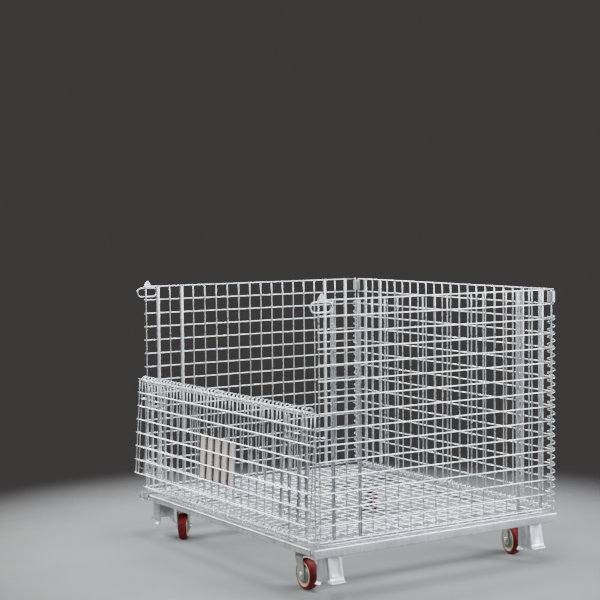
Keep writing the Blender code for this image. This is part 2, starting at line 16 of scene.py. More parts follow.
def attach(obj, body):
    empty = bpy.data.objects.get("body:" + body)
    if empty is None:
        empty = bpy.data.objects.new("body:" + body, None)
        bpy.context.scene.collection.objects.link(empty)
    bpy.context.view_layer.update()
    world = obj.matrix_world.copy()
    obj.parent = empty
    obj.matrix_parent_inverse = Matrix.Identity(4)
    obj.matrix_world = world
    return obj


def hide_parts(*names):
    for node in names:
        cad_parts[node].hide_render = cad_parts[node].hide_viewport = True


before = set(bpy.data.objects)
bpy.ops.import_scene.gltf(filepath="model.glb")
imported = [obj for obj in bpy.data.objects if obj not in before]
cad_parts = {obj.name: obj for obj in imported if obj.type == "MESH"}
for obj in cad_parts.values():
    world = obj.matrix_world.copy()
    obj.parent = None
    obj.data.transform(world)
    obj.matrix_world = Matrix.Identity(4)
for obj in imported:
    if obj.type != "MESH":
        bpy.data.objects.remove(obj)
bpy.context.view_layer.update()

WALLS_BEHIND_ORIGIN = 0.0127
WALLS = Matrix.Translation((0, WALLS_BEHIND_ORIGIN, 0))

# Mesh grid
PITCH = 0.050
FIRST_ROW_Z = 0.180
SIDE_COLUMNS = [-0.475 + PITCH * k for k in range(20)]
FRONT_COLUMNS = [-0.575 + PITCH * k for k in range(24)]
WALL_ROWS = [FIRST_ROW_Z + PITCH * k for k in range(16)]
LOWER_ROWS = WALL_ROWS[:9]
GATE_ROWS = [PITCH * k for k in range(8)]
FLOOR_ROWS = [-0.4795, *SIDE_COLUMNS[1:19], 0.4945]
GATE_END_X = 0.5965

# Planes where the two wire layers of a panel meet
SIDE_PLANE_X = 0.5850
BACK_PLANE_Y = 0.48625
LOWER_FRONT_PLANE_Y = -0.4895
FLOOR_PLANE_Z = 0.1698

# Ends of the uprights and of the crossbars
WALL_UPRIGHTS = (0.1775, 0.9325)
SIDE_CROSSBARS = (-0.4812, 0.4790)
BACK_CROSSBARS = (-0.580, 0.580)
FRONT_CROSSBARS = (-0.600, 0.600)
LOWER_UPRIGHTS = (0.1775, 0.5825)
GATE_UPRIGHTS = (-0.0018, 0.3525)
FLOOR_LENGTHWISE = (-0.4822, 0.4972)
FLOOR_CROSSWISE = (-0.578, 0.578)

# Wires: how far the layers sink into each other, and how they waver
WIRE_RADIUS = 0.00225
WIRE_CHAMFER = 0.0007
SET_DOWN = 0.0003
SHIFT_LIMIT = 0.0002
SWAY_LIMITS = (0.0001, 0.0002)
SWAY_TURNS = (1.0, 3.5)
CROSSING_CLEARANCE = 0.004
WELD_RINGS = ((-0.0012, 0.0022), (0.0, 0.0032), (0.0012, 0.0022))
WELD_SIDES = 8

# Folded ribs over some of the uprights
RIBBED = (1, 3, -4, -2)
RIB_WIDTH = 0.0125
RIB_DEPTH = 0.0060
RIB_SHEET = 0.0010
RIB_BEND = 0.0022
RIB_LAP = 0.0002
SIDE_RIBS = (0.1790, 0.9270)
BACK_RIBS = (0.1960, 0.9270)
LOWER_RIBS = (0.1960, 0.5640)
GATE_RIBS = (0.0210, 0.3480)

# Staples around the runs of a latch: places along the panel, then their start and reach from its plane
STAPLE_CLEARANCE = 0.0055
STAPLE_SPLAY = 0.0008
STAPLE_CORNER = (0.0006, 0.0012, 0.0030)
STAPLE_RADIUS = 0.0016
LOWER_STAPLES = (-0.0010, 0.0070)
GATE_STAPLES = (-0.0045, -0.0135)

# Hinge axes
CORNER_AXIS = (0.57875, 0.47925)
FRONT_AXIS = (-0.48575, 0.17625)
REAR_AXIS = (0.4916, 0.17625)
GATE_AXIS = (-0.4953, 0.5853)
GATE_REST_TILT = 3.9
GATE_PLANE_OFFSET = 0.0048
GATE_POSE = WALLS @ Matrix.Translation((0, *GATE_AXIS)) @ Matrix.Rotation(-radians(GATE_REST_TILT), 4, "X")

# Coils: body, axis, radius, wire radius, angle at COIL_ANGLE_X, and ends counted from the middle
COIL_PITCH = 0.025
COIL_END_PITCH = 0.0045
COIL_STEPS = 20
COIL_ANGLE_X = 0.025
HINGE_COILS = (
    ("front_floor", "base", FRONT_AXIS, 0.0137, 0.0018, 254, (0.032, 0.436)),
    ("rear_floor", "base", REAR_AXIS, 0.0106, 0.0017, 33, (0.014, 0.541)),
    ("gate", "lower_front", GATE_AXIS, 0.0130, 0.0018, 12, (0.014, 0.556)),
)
CORNER_COIL_ENDS = (0.205, 0.835)
CORNER_COIL_ANGLE = 45
CORNER_COIL_ANGLE_Z = 0.230
CORNER_COIL_RADIUS = 0.01245
CORNER_COIL_WIRE = 0.0018

# Label plate, in the gate's coordinates
LABEL_HALF_WIDTH = 0.125
LABEL_EDGES_Z = (-0.300, -0.150)
LABEL_CORNER = 0.008
LABEL_PLATE_Y = (0.0017, 0.0025)
FIELD_COUNT = 5
FIELD_HALF_WIDTH = 0.0165
FIELD_EDGES_Z = (-0.2975, -0.1525)
FIELD_CORNER = 0.004
FIELD_Y = (0.0010, 0.0019)

# Base frame: the web and the lips of each channel, and its ends
SHEET = 0.0025
SHEET_BEND = 0.0040
RAIL_BOTTOM = 0.1335
SIDE_RAIL_TOP = 0.1640
END_RAIL_TOP = 0.1560
SIDE_RAIL_X = (0.6000, 0.5550)
SIDE_RAIL_Y = (-0.507, 0.485)
BEARER_WEB_LIPS_X = (0.4350, 0.3750)
BEARER_Y = (-0.4647, 0.4547)
FRONT_RAIL_Y = (-0.4950, -0.4650)
REAR_RAIL_Y = (0.4850, 0.4550)
END_RAIL_X = (-0.5547, 0.5547)

# Feet: pairs are (bottom, top)
FOOT_BOTTOM_Z = 0.0400
FOOT_TOP_Z = 0.1332
FOOT_Y = {"front": -0.4260, "rear": 0.4010}
FOOT_INNER_X = 0.5330
FOOT_OUTER_X = (0.6030, 0.5860)
FOOT_HALF_WIDTH = (0.0310, 0.0300)
FOOT_BEND = 0.0055
FOOT_SHEET = 0.0028
FOOT_HEIGHTS = (1.0, 0.97, 0.93, 0.86, 0.75, 0.60, 0.45, 0.34, 0.25, 0.20, 0.16, 0.12, 0.09, 0.06, 0.03, 0.0)
FLANGE_SHARES = (0.0, 0.06, 0.18, 0.32, 0.40, 0.46, 0.52, 0.58, 0.66, 0.78, 0.90)
BEND_ANGLES = (-90, -68, -45, -22, 0)
WALL_SHARES = (0.05, 0.11, 0.18, 0.27, 0.38, 0.50)

# Shape of a foot's lower edge: a lobe on the flange, a notch beside it, and a lip that curls outward.
# The ranges are shares of the flange, of the wall or of the height.
NOTCH_HEIGHT = 0.0120
NOTCH_OVERSHOOT = 0.25
NOTCH_RISE = (0.38, 0.60)
NOTCH_SETTLE = (0.70, 0.90)
LIP_REACH = 0.0090
LIP_SHARE = 0.16
LIP_CURL = 1.6
LOBE_LIP = (0.38, 0.58)
BEND_LIP = 0.35

# Sunk panels of a foot
SINK_DEPTH = 0.0014
FLANGE_SINK = (0.30, 0.20)
WALL_SINK = (0.20, 0.30)
SINK_START = (0.22, 0.30)
SINK_END = (0.95, 0.90)

# Side panel fittings
LOOP_X = 0.5878
LOOP_Z = 0.9085
LOOP_RADIUS = 0.0160
LOOP_CENTRES_Y = (-0.4915, -0.4435)
LOOP_WIRE = 0.00265
TAB_X = (0.5860, 0.5890)
TAB_FOOT_Z = 0.9322
TAB_FOOT_Y = (-0.4810, -0.4500)
TAB_TIP = (-0.4655, 0.0205)
TAB_CORNER = 0.0028
TAB_HOLE = (-0.4655, 0.0086)
TAB_HOLE_RADIUS = 0.0026
TAB_HOLE_SIDES = 16
CLIP_RADII = (0.0131, 0.0114)
CLIP_ANGLES = (205, 515)
CLIP_Z = (0.8865, 0.9245)

# Latches
LATCH_RADIUS = 0.0025
LATCH_BEND_X = 0.409
GATE_LATCH_RUNS = (0.312, 0.330)
GATE_LATCH_Y = 0.0037
GATE_LATCH_ENDS_X = (0.545, 0.582)
LOWER_LATCH_RUNS = (0.492, 0.510)
LOWER_LATCH_Y = -0.4923
LOWER_LATCH_END_X = 0.560
HOOK_START_X = 0.596
HOOK_X = 0.5995
HOOK_CENTRES_Y = (-0.4838, -0.4740)
HOOK_RADIUS = 0.0085
HOOK_TIP = (0.592, -0.4655)

# Casters: swivel axis and direction of trail
CASTERS = {
    "front_left": (-0.4050, -0.4300, 143),
    "front_right": (0.4050, -0.4300, -3),
    "rear_left": (-0.4050, 0.4300, 168),
    "rear_right": (0.4050, 0.4300, -13),
}
TRAIL = 0.035
WHEEL_RADIUS = 0.050

# Fork: pairs are (at the axle, at the crown)
FORK_CROWN_Z = 0.1115
FORK_INSIDE = 0.0190
FORK_THICKNESS = 0.0030
FORK_BEND = 0.0060
FORK_LEG_TOP_Z = 0.1000
FORK_MIDDLE_X = (TRAIL, 0.0190)
FORK_HALF_DEPTH = (0.0175, 0.0235)
FORK_TIP_HALF_DEPTH = 0.0030
FORK_LEG_ROWS = (0.0328, 0.0336, 0.0355, 0.0385, 0.0425, 0.0470, 0.0530, 0.0700, 0.0860, 0.0980)
FORK_ACROSS = (-1, -0.9, -0.5, 0, 0.5, 0.9, 1)
FORK_CROWN_Y = 0.0080

# Top plate
PLATE_TOP = 0.1332
PLATE_THICKNESS = 0.0030
PLATE_HALF_SIZE = (0.046, 0.034)
PLATE_CORNER = 0.007
PLATE_BOLTS = ((-0.037, -0.025), (-0.037, 0.025), (0.037, -0.025), (0.037, 0.025))
PLATE_NUT_RADIUS = 0.0066
PLATE_NUT_Z = (0.1247, 0.1295)

# Turned profiles of the caster, as (radius, height) or (radius, distance from the wheel's middle plane)
LOWER_RACE = [(0.0005, 0.1110), (0.0225, 0.1110), (0.0245, 0.1130), (0.0245, 0.1180), (0.0225, 0.1208),
              (0.0005, 0.1208)]
KINGPIN = [(0.0005, 0.1035), (0.0085, 0.1035), (0.0100, 0.1050), (0.0100, 0.1090), (0.0005, 0.1090)]
UPPER_RACE = [(0.0005, 0.1213), (0.0262, 0.1213), (0.0280, 0.1224), (0.0280, 0.1262), (0.0268, 0.1275),
              (0.0235, 0.1312), (0.0005, 0.1312)]
PLATE_BOLT_END = [(0.0002, 0.1227), (0.0036, 0.1231), (0.0036, 0.1255), (0.0002, 0.1255)]
PLATE_WASHER = [(0.0002, 0.1292), (0.0078, 0.1292), (0.0078, 0.1305), (0.0002, 0.1305)]
TREAD_PROFILE = [(0.0403, -0.0150), (0.0440, -0.0158), (0.0468, -0.0150), (0.0487, -0.0130),
                 (0.0496, -0.0100), (0.0499, -0.0055), (0.0500, 0.0), (0.0499, 0.0055), (0.0496, 0.0100),
                 (0.0487, 0.0130), (0.0468, 0.0150), (0.0440, 0.0158), (0.0403, 0.0150)]
CORE_HALF = [(0.0402, 0.0146), (0.0398, 0.0160), (0.0388, 0.0166), (0.0366, 0.0164), (0.0358, 0.0150),
             (0.0352, 0.0082), (0.0230, 0.0066), (0.0150, 0.0070), (0.0140, 0.0172), (0.0120, 0.0180),
             (0.0056, 0.0180)]
GUARD_PROFILE = [(0.0120, 0.0150), (0.0120, 0.0186), (0.0200, 0.0186), (0.0270, 0.0170), (0.0305, 0.0130),
                 (0.0310, 0.0100), (0.0300, 0.0100), (0.0292, 0.0128), (0.0262, 0.0156), (0.0195, 0.0170)]
AXLE_SHAFT = [(0.0002, -0.0270), (0.0046, -0.0270), (0.0046, 0.0284), (0.0036, 0.0292), (0.0002, 0.0292)]
AXLE_NUT_CAP = [(0.0002, 0.0266), (0.0072, 0.0266), (0.0060, 0.0279), (0.0002, 0.0282)]
AXLE_WASHER_RADII = (0.0046, 0.0098)
AXLE_WASHER_REACH = (0.0222, 0.0234)
AXLE_NUT_REACH = (0.0233, 0.0268)
AXLE_NUT_RADIUS = 0.0086

# Rounding of edges
FINE_EDGE = 0.0003
SHEET_EDGE = 0.0004
PRESSED_EDGE = 0.0005

# Colour stops along a noise value
WHITE = (1.0, 1.0, 1.0)
WIRE_PLATING = ((0.30, (0.55, 0.60, 0.64)), (0.50, (0.74, 0.77, 0.79)), (0.72, (0.84, 0.83, 0.80)))
WIRE_SPOTS = ((0.30, (0.62, 0.64, 0.65)), (0.55, WHITE))
SHEET_MARKS = ((0.32, (0.70, 0.70, 0.71)), (0.60, WHITE))
SHEET_FLAKES = ((0.0, (0.88, 0.89, 0.90)), (1.0, WHITE))
SCUFF_MARKS = ((0.62, WHITE), (0.80, (0.55, 0.50, 0.48)))
BOLT_PLATING = ((0.30, (0.58, 0.60, 0.58)), (0.62, (0.88, 0.89, 0.87)))
FLOOR_CLOUDS = ((0.3, (0.205, 0.205, 0.21)), (0.7, (0.235, 0.235, 0.235)))

# Tones of the sheets, and the dark, middle and light tones of the rest
SHEET_TONE = (0.66, 0.68, 0.69)
FORK_TONE = (0.46, 0.46, 0.42)
GUARD_TONE = (0.26, 0.31, 0.27)
LABEL_TONES = ((0.72, 0.62, 0.60), (0.84, 0.77, 0.74), (0.90, 0.82, 0.72))
# Near-black painted shade: the shadows of the gate's wires on the label plate, between its pale fields
PAINTED_SHADE_TONES = ((0.035, 0.028, 0.024), (0.06, 0.045, 0.04), (0.09, 0.07, 0.06))
TREAD_TONES = ((0.060, 0.002, 0.004), (0.13, 0.004, 0.008), (0.20, 0.009, 0.012))
CORE_TONES = ((0.58, 0.42, 0.30), (0.76, 0.60, 0.46), (0.85, 0.70, 0.56))

# Stage
STAGE_RADIUS = 2.0
STAGE_SIDES = 96
STAGE_FADE = (0.85, 1.90)
STUDIO_COLOUR = (0.052, 0.048, 0.048)
LIGHT_TARGET = (0, 0, 0.5)
LIGHTS = (
    ("right", (3.1, 2.3, 2.0), (1.6, 2.4), 300, (0.88, 0.95, 1.0)),
    ("left", (-3.4, -1.5, 2.5), (1.6, 1.8), 300, (0.97, 0.99, 1.0)),
    ("top", (0.4, 0.2, 3.8), (2.4, 2.4), 210, (0.95, 0.98, 1.0)),
    ("front", (1.2, -4.0, 2.0), (2.4, 1.6), 90, (1.0, 0.95, 0.90)),
)
CAMERA_PLACE = (4.3000, -2.9137, 1.1894)
CAMERA_YAW, CAMERA_PITCH, CAMERA_ROLL = 1.0003, -0.0578, -0.0098
CAMERA_LENS, CAMERA_SENSOR = 87.6, 36.0


# Materials

def new_material(name, metallic, roughness, specular=0.5):
    """A material's nodes and links, its shader and its object coordinates, after the material."""
    material = bpy.data.materials.new(name)
    material.use_nodes = True
    nodes, links = material.node_tree.nodes, material.node_tree.links
    shader = nodes["Principled BSDF"]
    shader.inputs["Metallic"].default_value = metallic
    shader.inputs["Roughness"].default_value = roughness
    shader.inputs["Specular IOR Level"].default_value = specular
    return material, nodes, links, shader, nodes.new("ShaderNodeTexCoord").outputs["Object"]


def noise(nodes, links, coordinates, scale, detail=3.0, stretch=None):
    """Noise, mostly between 0.3 and 0.7, stretched by scaling the coordinates per axis."""
    if stretch:
        mapping = nodes.new("ShaderNodeMapping")
        mapping.inputs["Scale"].default_value = stretch
        links.new(coordinates, mapping.inputs["Vector"])
        coordinates = mapping.outputs["Vector"]
    texture = nodes.new("ShaderNodeTexNoise")
    texture.inputs["Scale"].default_value = scale
    texture.inputs["Detail"].default_value = detail
    links.new(coordinates, texture.inputs["Vector"])
    return texture.outputs["Fac"]


def ramp(nodes, links, value, stops):
    """Turns a value into a colour, or a grey, through (position, colour) stops."""
    node = nodes.new("ShaderNodeValToRGB")
    elements = node.color_ramp.elements
    while len(elements) < len(stops):
        elements.new(0.5)
    for element, (position, colour) in zip(elements, stops):
        element.position = position
        element.color = (colour, colour, colour, 1.0) if isinstance(colour, float) else (*colour, 1.0)
    links.new(value, node.inputs["Fac"])
    return node.outputs["Color"]


def multiply(nodes, links, amount, first, second):
    """The first colour darkened by the second."""
    node = nodes.new("ShaderNodeMix")
    node.data_type = "RGBA"
    node.blend_type = "MULTIPLY"
    node.inputs["Factor"].default_value = amount
    links.new(first, node.inputs["A"])
    links.new(second, node.inputs["B"])
    return node.outputs["Result"]


def bump(nodes, links, shader, height, strength, distance):
    """Raises the surface by a height value."""
    node = nodes.new("ShaderNodeBump")
    node.inputs["Strength"].default_value = strength
    node.inputs["Distance"].default_value = distance
    links.new(height, node.inputs["Height"])
    links.new(node.outputs["Normal"], shader.inputs["Normal"])


def zinc_wire_material():
    """Bright zinc plating on drawn wire: bluish white with slightly warm and dull stretches."""
    material, nodes, links, shader, at = new_material("zinc_wire_look", metallic=0.88, roughness=0.3)
    broad = noise(nodes, links, at, scale=9.0)
    fine = noise(nodes, links, at, scale=140.0, detail=4.0)
    plating = ramp(nodes, links, broad, WIRE_PLATING)
    spots = ramp(nodes, links, fine, WIRE_SPOTS)
    links.new(multiply(nodes, links, 0.8, plating, spots), shader.inputs["Base Color"])
    links.new(ramp(nodes, links, fine, [(0.30, 0.46), (0.65, 0.22)]), shader.inputs["Roughness"])
    grain = noise(nodes, links, at, scale=700.0, detail=2.0)
    bump(nodes, links, shader, grain, strength=0.12, distance=0.0004)
    return material


def zinc_sheet_material(name, tone):
    """Zinc plated sheet: faint crystals, vertical drawing marks and dull patches."""
    material, nodes, links, shader, at = new_material(name, metallic=0.75, roughness=0.4)
    crystals = nodes.new("ShaderNodeTexVoronoi")
    crystals.inputs["Scale"].default_value = 110.0
    links.new(at, crystals.inputs["Vector"])
    spangle = nodes.new("ShaderNodeSeparateColor")
    links.new(crystals.outputs["Color"], spangle.inputs["Color"])
    dark = tuple(0.74 * c for c in tone)
    light = tuple(min(1.0, 1.12 * c) for c in tone)
    broad = noise(nodes, links, at, scale=14.0)
    streaks = noise(nodes, links, at, scale=60.0, detail=4.0, stretch=(1.0, 1.0, 0.12))
    plating = ramp(nodes, links, broad, [(0.30, dark), (0.52, tone), (0.72, light)])
    marks = ramp(nodes, links, streaks, SHEET_MARKS)
    flakes = ramp(nodes, links, spangle.outputs["Red"], SHEET_FLAKES)
    colour = multiply(nodes, links, 0.75, plating, marks)
    links.new(multiply(nodes, links, 0.8, colour, flakes), shader.inputs["Base Color"])
    links.new(ramp(nodes, links, streaks, [(0.30, 0.52), (0.65, 0.30)]), shader.inputs["Roughness"])
    grain = noise(nodes, links, at, scale=240.0, detail=4.0)
    bump(nodes, links, shader, grain, strength=0.10, distance=0.0006)
    return material


def moulded_material(name, tones, roughness, grain_scale, specular=0.5):
    """Cast or moulded plastic: cloudy colour, scuffs and a fine grain."""
    material, nodes, links, shader, at = new_material(name, 0.0, roughness, specular)
    cloud = noise(nodes, links, at, scale=30.0)
    scuffs = noise(nodes, links, at, scale=160.0, detail=6.0)
    base = ramp(nodes, links, cloud, list(zip((0.30, 0.50, 0.75), tones)))
    worn = ramp(nodes, links, scuffs, SCUFF_MARKS)
    links.new(multiply(nodes, links, 0.6, base, worn), shader.inputs["Base Color"])
    links.new(ramp(nodes, links, scuffs, [(0.35, roughness - 0.10), (0.70, roughness + 0.16)]),
              shader.inputs["Roughness"])
    grain = noise(nodes, links, at, grain_scale, detail=2.0)
    bump(nodes, links, shader, grain, strength=0.15, distance=0.0004)
    return material


def bolt_material():
    """Bright plated bolts and nuts with tool marks."""
    material, nodes, links, shader, at = new_material("bolt_steel_look", metallic=0.95, roughness=0.2)
    marks = noise(nodes, links, at, scale=220.0, detail=5.0, stretch=(1.0, 0.25, 1.0))
    links.new(ramp(nodes, links, marks, BOLT_PLATING), shader.inputs["Base Color"])
    links.new(ramp(nodes, links, marks, [(0.30, 0.36), (0.65, 0.14)]), shader.inputs["Roughness"])
    bump(nodes, links, shader, marks, strength=0.10, distance=0.0003)
    return material


LOOKS = {
    "zinc_wire": zinc_wire_material(),
    "zinc_sheet": zinc_sheet_material("zinc_sheet_look", SHEET_TONE),
    "label_plate": moulded_material("label_light", LABEL_TONES, roughness=0.42, grain_scale=500.0),
    "red_tread": moulded_material("red_tread_look", TREAD_TONES, roughness=0.50, grain_scale=900.0,
                                  specular=0.25),
    "wheel_core": moulded_material("wheel_core_look", CORE_TONES, roughness=0.42, grain_scale=600.0),
    "bolt_steel": bolt_material(),
}
# Painted shade for the label plate's body, near black where the wires' shadows fall
LABEL_PAINTED_SHADE = moulded_material("label_painted_shade", PAINTED_SHADE_TONES, roughness=0.6, grain_scale=500.0)
HUB_GUARD = zinc_sheet_material("hub_guard_look", GUARD_TONE)
FORK_SHEET = zinc_sheet_material("fork_sheet_look", FORK_TONE)


# Pieces and shapes

def finish_mesh(bm, name, sharp=35):
    """Turns the bmesh into a smooth mesh with creases where it bends by more than `sharp`."""
    bmesh.ops.recalc_face_normals(bm, faces=bm.faces)
    mesh = bpy.data.meshes.new(name)
    bm.to_mesh(mesh)
    bm.free()
    mesh.shade_smooth()
    mesh.set_sharp_from_angle(angle=radians(sharp))
    return mesh


def add_piece(name, mesh, body, pose, slot, nodes=(), looks=None, bevel=0.0):
    """Shows a mesh on a body, in place of the CAD nodes that it stands for."""
    piece = bpy.data.objects.new(name, mesh)
    bpy.context.scene.collection.objects.link(piece)
    if not mesh.materials:
        for look in looks or [LOOKS[slot]]:
            mesh.materials.append(look)
    piece.matrix_world = pose
    if bevel:
        rounding = piece.modifiers.new("rounding", "BEVEL")
        rounding.width = bevel
        rounding.segments = 2
        rounding.limit_method = "ANGLE"
        rounding.angle_limit = radians(40)
    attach(piece, body)
    if nodes:
        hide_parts(*nodes)
    return piece


def add_wire(name, points, radius, body, pose, node, sides=8, closed=False, looks=None):
    """Shows one bent wire in place of a CAD node."""
    bm = bmesh.new()
    tube(bm, points, radius, sides, closed)
    return add_piece(name, finish_mesh(bm, name, 60), body, pose, "zinc_wire", [node], looks)


def around(count):
    """Pairs of neighbours on a ring."""
    return zip(range(count), [*range(1, count), 0])


def tube(bm, points, radius, sides=8, closed=False):
    """A round wire through the points, with chamfered ends."""
    points = [Vector(point) for point in points]
    radii = [radius] * len(points)
    if not closed:
        first, last = (points[1] - points[0]).normalized(), (points[-2] - points[-1]).normalized()
        points = [points[0], points[0] + first * WIRE_CHAMFER, *points[1:-1],
                  points[-1] + last * WIRE_CHAMFER, points[-1]]
        radii = [radius - WIRE_CHAMFER, *[radius] * (len(points) - 2), radius - WIRE_CHAMFER]
    count = len(points)
    rings, normal = [], None
    for index, point in enumerate(points):
        ahead = points[(index + 1) % count] if closed else points[min(index + 1, count - 1)]
        behind = points[index - 1] if closed else points[max(index - 1, 0)]
        along = (ahead - behind).normalized()
        normal = along.orthogonal() if normal is None else normal - along * normal.dot(along)
        normal.normalize()
        side = along.cross(normal)
        ring = []
        for k in range(sides):
            spoke = normal * cos(tau * k / sides) + side * sin(tau * k / sides)
            ring.append(bm.verts.new(point + spoke * radii[index]))
        rings.append(ring)
    for here, there in zip(rings, rings[1:] + (rings[:1] if closed else [])):
        for a, b in around(sides):
            bm.faces.new((here[a], here[b], there[b], there[a]))
    if not closed:
        bm.faces.new(reversed(rings[0]))
        bm.faces.new(rings[-1])


def extrude(bm, outline, place, start, end):
    """A straight solid: place(u, v, w) puts the outline's (u, v) at each end w."""
    rings = [[bm.verts.new(place(u, v, w)) for u, v in outline] for w in (start, end)]
    for ring in rings:
        bm.faces.new(ring)
    for a, b in around(len(outline)):
        bm.faces.new((rings[0][a], rings[0][b], rings[1][b], rings[1][a]))


def upright(x, y, z):
    """Leaves a point made about Z as it is."""
    return (x, y, z)


def revolve(bm, profile, steps, place=upright):
    """A closed profile of (radius, height) turned about Z, or about the axis that place makes of it."""
    rings = []
    for step in range(steps):
        angle = tau * step / steps
        rings.append([bm.verts.new(place(r * cos(angle), r * sin(angle), h)) for r, h in profile])
    for here, there in zip(rings, rings[1:] + rings[:1]):
        for a, b in around(len(profile)):
            bm.faces.new((here[a], here[b], there[b], there[a]))


def bent_sheet(path, thickness, bend, steps=4):
    """Outline of a folded sheet: one face follows the path, the other lies `thickness` to its left."""
    path = [Vector(point) for point in path]
    directions = [(b - a).normalized() for a, b in zip(path, path[1:])]

    def left(direction):
        return Vector((-direction.y, direction.x))

    face, back = [path[0]], [path[0] + left(directions[0]) * thickness]
    for corner, before, after in zip(path[1:-1], directions, directions[1:]):
        turn = atan2(before.x * after.y - before.y * after.x, before.dot(after))
        side = 1 if turn > 0 else -1
        centre = corner - before * bend * tan(abs(turn) / 2) + left(before) * side * bend
        for step in range(steps + 1):
            spoke = Matrix.Rotation(turn * step / steps, 2) @ (-left(before) * side)
            face.append(centre + spoke * bend)
            back.append(centre + spoke * (bend - side * thickness))
    face.append(path[-1])
    back.append(path[-1] + left(directions[-1]) * thickness)
    return [*face, *reversed(back)]


def rounded_outline(corners, radius, steps=4):
    """An outline with each corner replaced by an arc."""
    outline = []
    count = len(corners)
    for index in range(count):
        before, corner, after = (Vector(corners[k % count]) for k in (index - 1, index, index + 1))
        first, second = (before - corner).normalized(), (after - corner).normalized()
        half = first.angle(second) / 2
        middle = corner + (first + second).normalized() * radius / sin(half)
        start = corner + first * radius / tan(half) - middle
        end = corner + second * radius / tan(half) - middle
        turn = atan2(start.x * end.y - start.y * end.x, start.dot(end))
        outline += [middle + Matrix.Rotation(turn * step / steps, 2) @ start for step in range(steps + 1)]
    return outline


def rounded_rectangle(low_u, low_v, high_u, high_v, radius):
    """A rectangle with round corners."""
    return rounded_outline([(low_u, low_v), (high_u, low_v), (high_u, high_v), (low_u, high_v)], radius)


def arc(centre, radius, first, last, steps):
    """Points (u, v) on an arc."""
    angles = [radians(first + (last - first) * step / steps) for step in range(steps + 1)]
    return [(centre[0] + radius * cos(angle), centre[1] + radius * sin(angle)) for angle in angles]


def hexagon(radius, x=0.0, y=0.0):
    """Corners of a nut."""
    return [(x + radius * cos(tau * k / 6), y + radius * sin(tau * k / 6)) for k in range(6)]


# Mesh panels: place(a, b, n) turns panel coordinates into metres, with a along the crossbars, b along the
# uprights and n outward from the plane where the two layers meet.

def wires(bm, place, along, across, span, depth, draws):
    """Parallel wires at each position of `along`, with a slight waver between the crossings."""
    for position in along:
        shift = draws.uniform(-SHIFT_LIMIT, SHIFT_LIMIT)
        sway, phase, turns = draws.uniform(*SWAY_LIMITS), draws.uniform(0, tau), draws.uniform(*SWAY_TURNS)
        length = span[1] - span[0]
        points = []
        for stop in [span[0], *across, span[1]]:
            waver = shift + sway * sin(phase + tau * turns * (stop - span[0]) / length)
            points.append(place(position + waver, stop, depth))
        tube(bm, points, WIRE_RADIUS)


def weld_marks(bm, place, columns, rows):
    """A flattened bead of weld at each crossing."""
    for a in columns:
        for b in rows:
            rings = []
            for depth, radius in WELD_RINGS:
                rings.append([bm.verts.new(place(a + radius * cos(tau * k / WELD_SIDES),
                                                 b + radius * sin(tau * k / WELD_SIDES), depth))
                              for k in range(WELD_SIDES)])
            for here, there in zip(rings, rings[1:]):
                for k, after in around(WELD_SIDES):
                    bm.faces.new((here[k], here[after], there[after], there[k]))
            bm.faces.new(rings[0])
            bm.faces.new(rings[-1])


def inner(positions, span):
    """The positions that lie clear of the ends of a span."""
    return [p for p in positions if span[0] + CROSSING_CLEARANCE < p < span[1] - CROSSING_CLEARANCE]


def wire_mesh(name, place, columns, rows, uprights, crossbars, seed, welded):
    """Round uprights behind round crossbars, welded where they cross."""
    draws = Random(seed)
    bm = bmesh.new()
    wires(bm, place, columns, inner(rows, uprights), uprights, SET_DOWN - WIRE_RADIUS, draws)
    wires(bm, lambda b, a, n: place(a, b, n), rows, inner(columns, crossbars), crossbars,
          WIRE_RADIUS - SET_DOWN, draws)
    weld_marks(bm, place, columns, welded)
    return finish_mesh(bm, name, 50)


def ribs(name, place, columns, span):
    """Folded channels over some uprights, with their legs toward the crossbars."""
    bm = bmesh.new()
    half = RIB_WIDTH / 2
    outline = bent_sheet([(half, RIB_LAP), (half, -RIB_DEPTH), (-half, -RIB_DEPTH), (-half, RIB_LAP)],
                         -RIB_SHEET, RIB_BEND)
    for column in (columns[k] for k in RIBBED):
        extrude(bm, outline, lambda a, n, b: place(column + a, b, n), *span)
    return finish_mesh(bm, name, 40)


def staples(name, place, columns, runs, depth, reach):
    """Bent wires around both runs of a latch, welded to the ribbed uprights."""
    bm = bmesh.new()
    low, high = runs[0] - STAPLE_CLEARANCE, runs[1] + STAPLE_CLEARANCE
    bend, rise, shoulder = STAPLE_CORNER
    leg = [(-STAPLE_SPLAY, depth), (-STAPLE_SPLAY, (depth + reach) / 2), (bend, reach - rise),
           (shoulder, reach)]
    points = [(low + b, n) for b, n in leg] + [(high - b, n) for b, n in reversed(leg)]
    for column in (columns[k] for k in RIBBED):
        tube(bm, [place(column, b, n) for b, n in points], STAPLE_RADIUS)
    return finish_mesh(bm, name, 50)


def side_place(sign):
    return lambda y, z, n: Vector((sign * (SIDE_PLANE_X + n), y, z))


def back_place(x, z, n):
    return Vector((x, BACK_PLANE_Y + n, z))


def floor_place(x, y, n):
    return Vector((x, y, FLOOR_PLANE_Z + n))


def lower_place(x, z, n):
    return Vector((x, LOWER_FRONT_PLANE_Y - n, z))


def gate_place(x, height, n):
    return Vector((x, -GATE_PLANE_OFFSET - n, -height))


def add_panel(name, node, body, place, columns, rows, uprights, crossbars, seed, rib_span=None,
              latch=None, pose=WALLS, edge=None, welded=None):
    """Shows a panel's wires, its ribs, and the staples for a latch's runs.

    The gate has an extra upright at each `edge`. `welded` are the rows with weld marks, all by default.
    """
    wire_columns = [-edge, *columns, edge] if edge else columns
    mesh = wire_mesh(name + "_wires", place, wire_columns, rows, uprights, crossbars, seed, welded or rows)
    add_piece(name + "_wires", mesh, body, pose, "zinc_wire", [node])
    if rib_span:
        add_piece(name + "_ribs", ribs(name + "_ribs", place, columns, rib_span), body, pose, "zinc_wire")
    if latch:
        add_piece(name + "_staples", staples(name + "_staples", place, columns, *latch), body, pose,
                  "zinc_wire")


